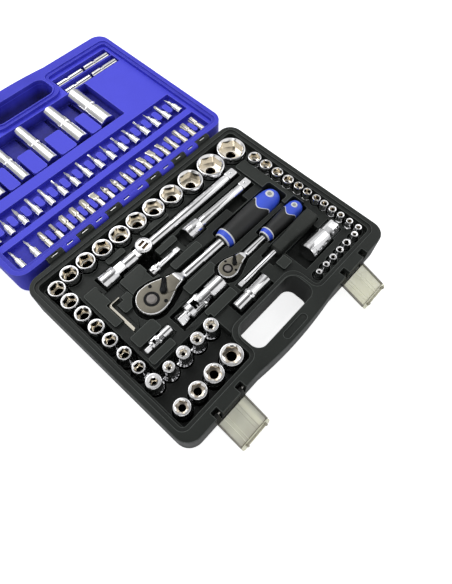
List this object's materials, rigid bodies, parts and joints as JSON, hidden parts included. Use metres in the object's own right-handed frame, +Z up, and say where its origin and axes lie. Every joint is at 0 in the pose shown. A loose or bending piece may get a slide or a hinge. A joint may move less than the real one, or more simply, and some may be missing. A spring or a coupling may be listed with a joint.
{
  "type": "socket wrench set in case",
  "caption": "Moulded tool case lying open on its hinge, with ratchets, extension bars, universal joints, plug sockets, hex keys, loose sockets and bits in fitted pockets, and clear latches.",
  "frame": {"origin": "bottom centre of the base half of the case, on the surface it lies on", "axes": "X runs along the hinge with the handle side seen from the front having +X to the right, +Y runs from the handle to the hinge and on over the open lid, +Z is up"},
  "size_m": [0.379, 0.6256, 0.0514],
  "materials": {
    "base_plastic": "fine grain moulded plastic, near black",
    "lid_plastic": "fine grain moulded plastic, violet blue",
    "latch_plastic": "smoky clear plastic",
    "chrome": "bright nickel chrome plate",
    "satin_steel": "satin chrome plate",
    "dark_steel": "blackened steel",
    "grip_rubber": "matt rubber",
    "grip_blue": "matt rubber, blue",
    "sleeve_rubber": "soft rubber"
  },
  "bodies": {
    "case": {"base_shell": "base_plastic", "hinge_pin": "satin_steel", "latch_pins": "satin_steel"},
    "lid": {"lid_shell": "lid_plastic"},
    "left_latch": {"latch_left": "latch_plastic"},
    "right_latch": {"latch_right": "latch_plastic"},
    "long_bar": {"long_extension": "chrome"},
    "t_head": {"sliding_head": "chrome"},
    "short_bar": {"short_extension": "chrome"},
    "small_bar": {"small_extension": "chrome"},
    "joint_large": {"big_joint_socket": "chrome"},
    "joint_large_cross": {"big_joint_cross": "dark_steel"},
    "joint_large_drive": {"big_joint_drive": "chrome"},
    "joint_small": {"small_joint_socket": "chrome"},
    "joint_small_cross": {"small_joint_cross": "dark_steel"},
    "joint_small_drive": {"small_joint_drive": "chrome"},
    "spinner": {"spinner_shaft": "chrome", "spinner_handle": "grip_rubber"},
    "plug_small": {"plug_socket_small": "chrome", "plug_insert_small": "sleeve_rubber"},
    "plug_large": {"plug_socket_large": "chrome", "plug_insert_large": "sleeve_rubber"},
    "keys": {"hex_keys": "dark_steel"},
    "adaptor": {"bit_adaptor": "chrome"},
    "sockets_half": {"half_inch_sockets": "chrome"},
    "sockets_big": {"big_sockets": "chrome"},
    "sockets_star": {"star_sockets": "chrome"},
    "sockets_quarter": {"quarter_inch_sockets": "chrome"},
    "sockets_small_star": {"small_star_sockets": "chrome"},
    "sockets_deep": {"deep_sockets": "chrome"},
    "sockets_small_deep": {"small_deep_sockets": "chrome"},
    "sockets_bit": {"bit_sockets": "chrome"},
    "bits": {"screw_bits": "satin_steel"},
    "ratchet_large": {"big_ratchet_head": "chrome", "big_ratchet_cover": "satin_steel", "big_ratchet_screws": "dark_steel", "big_ratchet_pawl": "dark_steel", "big_ratchet_collar": "grip_blue", "big_ratchet_grip": "grip_rubber", "big_ratchet_cap": "grip_blue"},
    "ratchet_large_gear": {"big_ratchet_gear": "dark_steel"},
    "ratchet_large_button": {"big_ratchet_button": "chrome"},
    "ratchet_large_lever": {"big_ratchet_lever": "dark_steel"},
    "ratchet_small": {"small_ratchet_head": "chrome", "small_ratchet_cover": "satin_steel", "small_ratchet_screws": "dark_steel", "small_ratchet_pawl": "dark_steel", "small_ratchet_collar": "grip_blue", "small_ratchet_grip": "grip_rubber", "small_ratchet_cap": "grip_blue"},
    "ratchet_small_gear": {"small_ratchet_gear": "dark_steel"},
    "ratchet_small_button": {"small_ratchet_button": "chrome"},
    "ratchet_small_lever": {"small_ratchet_lever": "dark_steel"}
  },
  "joints": [
    {"name": "lid_hinge", "type": "hinge", "parent": "case", "child": "lid", "pos_m": [0, 0.147, 0.04625], "axis": [-1, 0, 0], "range_deg": [-180, 0]},
    {"name": "left_latch_hinge", "type": "hinge", "parent": "case", "child": "left_latch", "pos_m": [-0.1225, -0.1365, 0.035], "axis": [1, 0, 0], "range_deg": [-108, 0]},
    {"name": "right_latch_hinge", "type": "hinge", "parent": "case", "child": "right_latch", "pos_m": [0.1175, -0.1365, 0.035], "axis": [1, 0, 0], "range_deg": [-108, 0]},
    {"name": "ratchet_large_lift", "type": "slide", "parent": "case", "child": "ratchet_large", "axis": [0, 0, 1], "range_m": [0, 0.06]},
    {"name": "ratchet_large_gear_turn", "type": "hinge", "parent": "ratchet_large", "child": "ratchet_large_gear", "pos_m": [-0.0923, 0.0162, 0.03], "axis": [0, 0, 1], "continuous": true},
    {"name": "ratchet_large_button_press", "type": "slide", "parent": "ratchet_large_gear", "child": "ratchet_large_button", "axis": [0, 0, 1], "range_m": [-0.002, 0], "stiffness_N_per_m": 600},
    {"name": "ratchet_large_lever_turn", "type": "hinge", "parent": "ratchet_large", "child": "ratchet_large_lever", "pos_m": [-0.07493, 0.01359, 0.043], "axis": [0, 0, 1], "range_deg": [-80, 0]},
    {"name": "ratchet_small_lift", "type": "slide", "parent": "case", "child": "ratchet_small", "axis": [0, 0, 1], "range_m": [0, 0.06]},
    {"name": "ratchet_small_gear_turn", "type": "hinge", "parent": "ratchet_small", "child": "ratchet_small_gear", "pos_m": [0.0041, -0.0224, 0.03], "axis": [0, 0, 1], "continuous": true},
    {"name": "ratchet_small_button_press", "type": "slide", "parent": "ratchet_small_gear", "child": "ratchet_small_button", "axis": [0, 0, 1], "range_m": [-0.002, 0], "stiffness_N_per_m": 600},
    {"name": "ratchet_small_lever_turn", "type": "hinge", "parent": "ratchet_small", "child": "ratchet_small_lever", "pos_m": [0.01529, -0.02408, 0.043], "axis": [0, 0, 1], "range_deg": [-80, 0]},
    {"name": "long_bar_lift", "type": "slide", "parent": "case", "child": "long_bar", "axis": [0, 0, 1], "range_m": [0, 0.06]},
    {"name": "short_bar_lift", "type": "slide", "parent": "case", "child": "short_bar", "axis": [0, 0, 1], "range_m": [0, 0.06]},
    {"name": "small_bar_lift", "type": "slide", "parent": "case", "child": "small_bar", "axis": [0, 0, 1], "range_m": [0, 0.06]},
    {"name": "joint_large_lift", "type": "slide", "parent": "case", "child": "joint_large", "axis": [0, 0, 1], "range_m": [0, 0.06]},
    {"name": "joint_small_lift", "type": "slide", "parent": "case", "child": "joint_small", "axis": [0, 0, 1], "range_m": [0, 0.06]},
    {"name": "spinner_lift", "type": "slide", "parent": "case", "child": "spinner", "axis": [0, 0, 1], "range_m": [0, 0.06]},
    {"name": "plug_small_lift", "type": "slide", "parent": "case", "child": "plug_small", "axis": [0, 0, 1], "range_m": [0, 0.06]},
    {"name": "plug_large_lift", "type": "slide", "parent": "case", "child": "plug_large", "axis": [0, 0, 1], "range_m": [0, 0.06]},
    {"name": "keys_lift", "type": "slide", "parent": "case", "child": "keys", "axis": [0, 0, 1], "range_m": [0, 0.06]},
    {"name": "adaptor_lift", "type": "slide", "parent": "case", "child": "adaptor", "axis": [0, 0, 1], "range_m": [0, 0.06]},
    {"name": "sockets_half_lift", "type": "slide", "parent": "case", "child": "sockets_half", "axis": [0, 0, 1], "range_m": [0, 0.06]},
    {"name": "sockets_big_lift", "type": "slide", "parent": "case", "child": "sockets_big", "axis": [0, 0, 1], "range_m": [0, 0.06]},
    {"name": "sockets_star_lift", "type": "slide", "parent": "case", "child": "sockets_star", "axis": [0, 0, 1], "range_m": [0, 0.06]},
    {"name": "sockets_quarter_lift", "type": "slide", "parent": "case", "child": "sockets_quarter", "axis": [0, 0, 1], "range_m": [0, 0.06]},
    {"name": "sockets_small_star_lift", "type": "slide", "parent": "case", "child": "sockets_small_star", "axis": [0, 0, 1], "range_m": [0, 0.06]},
    {"name": "sockets_deep_lift", "type": "slide", "parent": "lid", "child": "sockets_deep", "axis": [0, 0, 1], "range_m": [0, 0.06]},
    {"name": "sockets_small_deep_lift", "type": "slide", "parent": "lid", "child": "sockets_small_deep", "axis": [0, 0, 1], "range_m": [0, 0.06]},
    {"name": "sockets_bit_lift", "type": "slide", "parent": "lid", "child": "sockets_bit", "axis": [0, 0, 1], "range_m": [0, 0.06]},
    {"name": "bits_lift", "type": "slide", "parent": "lid", "child": "bits", "axis": [0, 0, 1], "range_m": [0, 0.06]},
    {"name": "t_head_slide", "type": "slide", "parent": "long_bar", "child": "t_head", "axis": [1, 0, 0], "range_m": [0, 0.008]},
    {"name": "joint_large_yaw", "type": "hinge", "parent": "joint_large", "child": "joint_large_cross", "pos_m": [-0.05125, -0.0264, 0.0345], "axis": [0, 0, 1], "range_deg": [-4, 4]},
    {"name": "joint_large_pitch", "type": "hinge", "parent": "joint_large_cross", "child": "joint_large_drive", "pos_m": [-0.05125, -0.0264, 0.0345], "axis": [0, 1, 0], "range_deg": [0, 40]},
    {"name": "joint_small_yaw", "type": "hinge", "parent": "joint_small", "child": "joint_small_cross", "pos_m": [-0.1231, -0.0257, 0.0385], "axis": [0, 0, 1], "range_deg": [-4, 4]},
    {"name": "joint_small_pitch", "type": "hinge", "parent": "joint_small_cross", "child": "joint_small_drive", "pos_m": [-0.1231, -0.0257, 0.0385], "axis": [0, 1, 0], "range_deg": [0, 40]}
  ]
}
